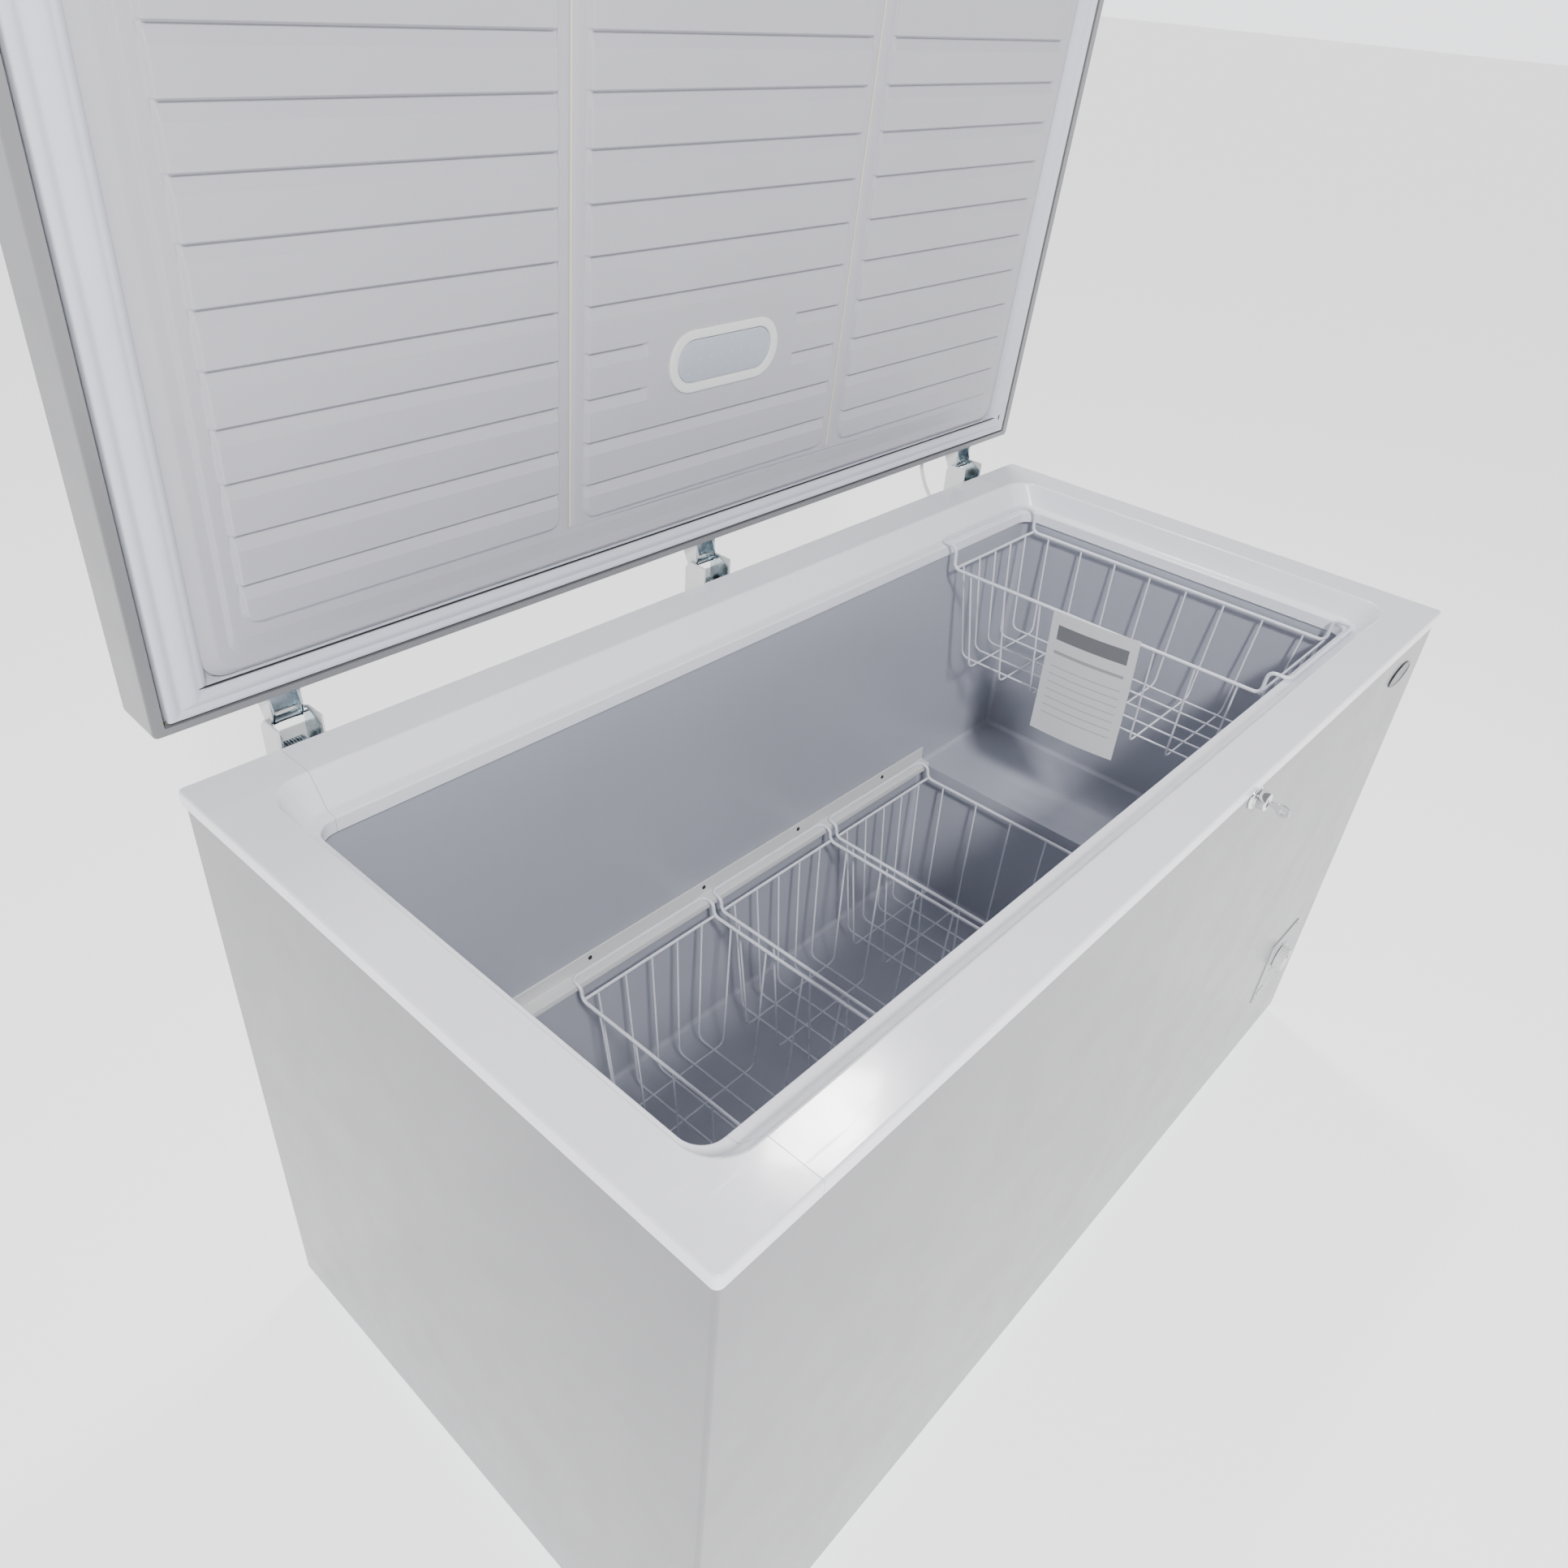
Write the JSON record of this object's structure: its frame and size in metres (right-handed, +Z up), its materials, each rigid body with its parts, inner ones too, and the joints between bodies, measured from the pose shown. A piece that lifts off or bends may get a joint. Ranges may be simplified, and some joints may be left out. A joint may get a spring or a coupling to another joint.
{
  "type": "chest freezer",
  "caption": "White chest freezer with its hinged lid open, plastic rim, stepped inner liner, hanging wire baskets, lid lamp, front lock and thermostat knob.",
  "frame": {"origin": "middle of the open freezer's footprint, on the floor", "axes": "+X to the right seen from the front, +Y to the back, where the hinges are, +Z up"},
  "size_m": [1.431, 0.8371, 1.567],
  "materials": {
    "white_painted_steel": "satin",
    "rear_steel": "satin",
    "zinc_steel": "satin",
    "chrome": "polished",
    "white_rim_plastic": "gloss",
    "white_cover_plastic": "satin",
    "grey_plastic": "satin",
    "black_plastic": "matte",
    "dark_lens": "gloss",
    "coated_liner": "satin",
    "lid_liner_plastic": "satin",
    "soft_seal": "satin",
    "rigid_foam": "matte",
    "frosted_lens": "satin",
    "coated_wire": "satin",
    "copper": "satin",
    "black_enamel": "satin"
  },
  "bodies": {
    "cabinet": {"outer_wrapper": "white_painted_steel", "rear_panel": "rear_steel", "base_plate": "zinc_steel", "insulation_foam": "rigid_foam", "inner_liner": "coated_liner", "machine_bulkhead": "zinc_steel", "rim_front": "white_rim_plastic", "rim_rear": "white_rim_plastic", "rim_end_left": "white_rim_plastic", "rim_end_right": "white_rim_plastic", "foot_front_left": "black_plastic", "foot_front_right": "black_plastic", "foot_rear_left": "black_plastic", "foot_rear_right": "black_plastic", "basket_rail_rear": "white_cover_plastic", "basket_rail_front": "white_cover_plastic", "control_panel": "grey_plastic", "indicator_lens": "dark_lens", "badge_plate": "zinc_steel", "lock_escutcheon": "chrome", "side_grille": "white_cover_plastic", "compressor": "black_enamel", "compressor_tray": "zinc_steel", "terminal_cover": "black_plastic", "refrigerant_tube": "copper", "filter_drier": "copper", "cord_gland": "black_plastic", "drain_tube": "grey_plastic", "lamp_lead": "white_cover_plastic", "hinge_bracket_left": "zinc_steel", "hinge_pin_left": "chrome", "hinge_cover_lower_left": "white_cover_plastic", "hinge_bracket_middle": "zinc_steel", "hinge_pin_middle": "chrome", "hinge_cover_lower_middle": "white_cover_plastic", "hinge_bracket_right": "zinc_steel", "hinge_pin_right": "chrome", "hinge_cover_lower_right": "white_cover_plastic"},
    "lid": {"lid_skin": "white_painted_steel", "lid_foam": "rigid_foam", "lid_liner": "lid_liner_plastic", "lid_gasket": "soft_seal", "lamp_bezel": "lid_liner_plastic", "lamp_lens": "frosted_lens", "lid_handle": "white_cover_plastic", "lock_catch": "chrome", "hinge_leaf_left": "zinc_steel", "hinge_leaf_middle": "zinc_steel", "hinge_leaf_right": "zinc_steel", "hinge_cover_upper_left": "white_cover_plastic", "hinge_cover_upper_middle": "white_cover_plastic", "hinge_cover_upper_right": "white_cover_plastic"},
    "thermostat_knob": {"thermostat_knob": "white_cover_plastic"},
    "lock": {"lock_barrel": "chrome", "lock_key": "chrome"},
    "drain_plug": {"drain_plug": "white_cover_plastic"},
    "upper_basket": {"upper_basket": "coated_wire"},
    "lower_basket_1": {"lower_basket_1": "coated_wire"},
    "lower_basket_2": {"lower_basket_2": "coated_wire"},
    "lower_basket_3": {"lower_basket_3": "coated_wire"}
  },
  "joints": [
    {"name": "lid_hinge", "type": "hinge", "parent": "cabinet", "child": "lid", "pos_m": [0, 0.364, 0.792], "axis": [1, 0, 0], "range_deg": [0, 87], "stiffness_Nm_per_rad": 12, "deforming": ["lamp_lead"]},
    {"name": "upper_basket_slide", "type": "slide", "parent": "cabinet", "child": "upper_basket", "axis": [-1, 0, 0], "range_m": [0, 0.98]},
    {"name": "lower_basket_1_lift", "type": "slide", "parent": "cabinet", "child": "lower_basket_1", "axis": [0, 0, 1], "range_m": [0, 0.15]},
    {"name": "lower_basket_2_lift", "type": "slide", "parent": "cabinet", "child": "lower_basket_2", "axis": [0, 0, 1], "range_m": [0, 0.15]},
    {"name": "lower_basket_3_lift", "type": "slide", "parent": "cabinet", "child": "lower_basket_3", "axis": [0, 0, 1], "range_m": [0, 0.15]},
    {"name": "thermostat_turn", "type": "hinge", "parent": "cabinet", "child": "thermostat_knob", "pos_m": [0.585, -0.38, 0.212], "axis": [0, -1, 0], "range_deg": [0, 270]},
    {"name": "lock_turn", "type": "hinge", "parent": "cabinet", "child": "lock", "pos_m": [0.118, -0.385, 0.749], "axis": [0, -1, 0], "range_deg": [0, 90]},
    {"name": "drain_plug_pull", "type": "slide", "parent": "cabinet", "child": "drain_plug", "axis": [0, 0, 1], "range_m": [0, 0.025]}
  ]
}
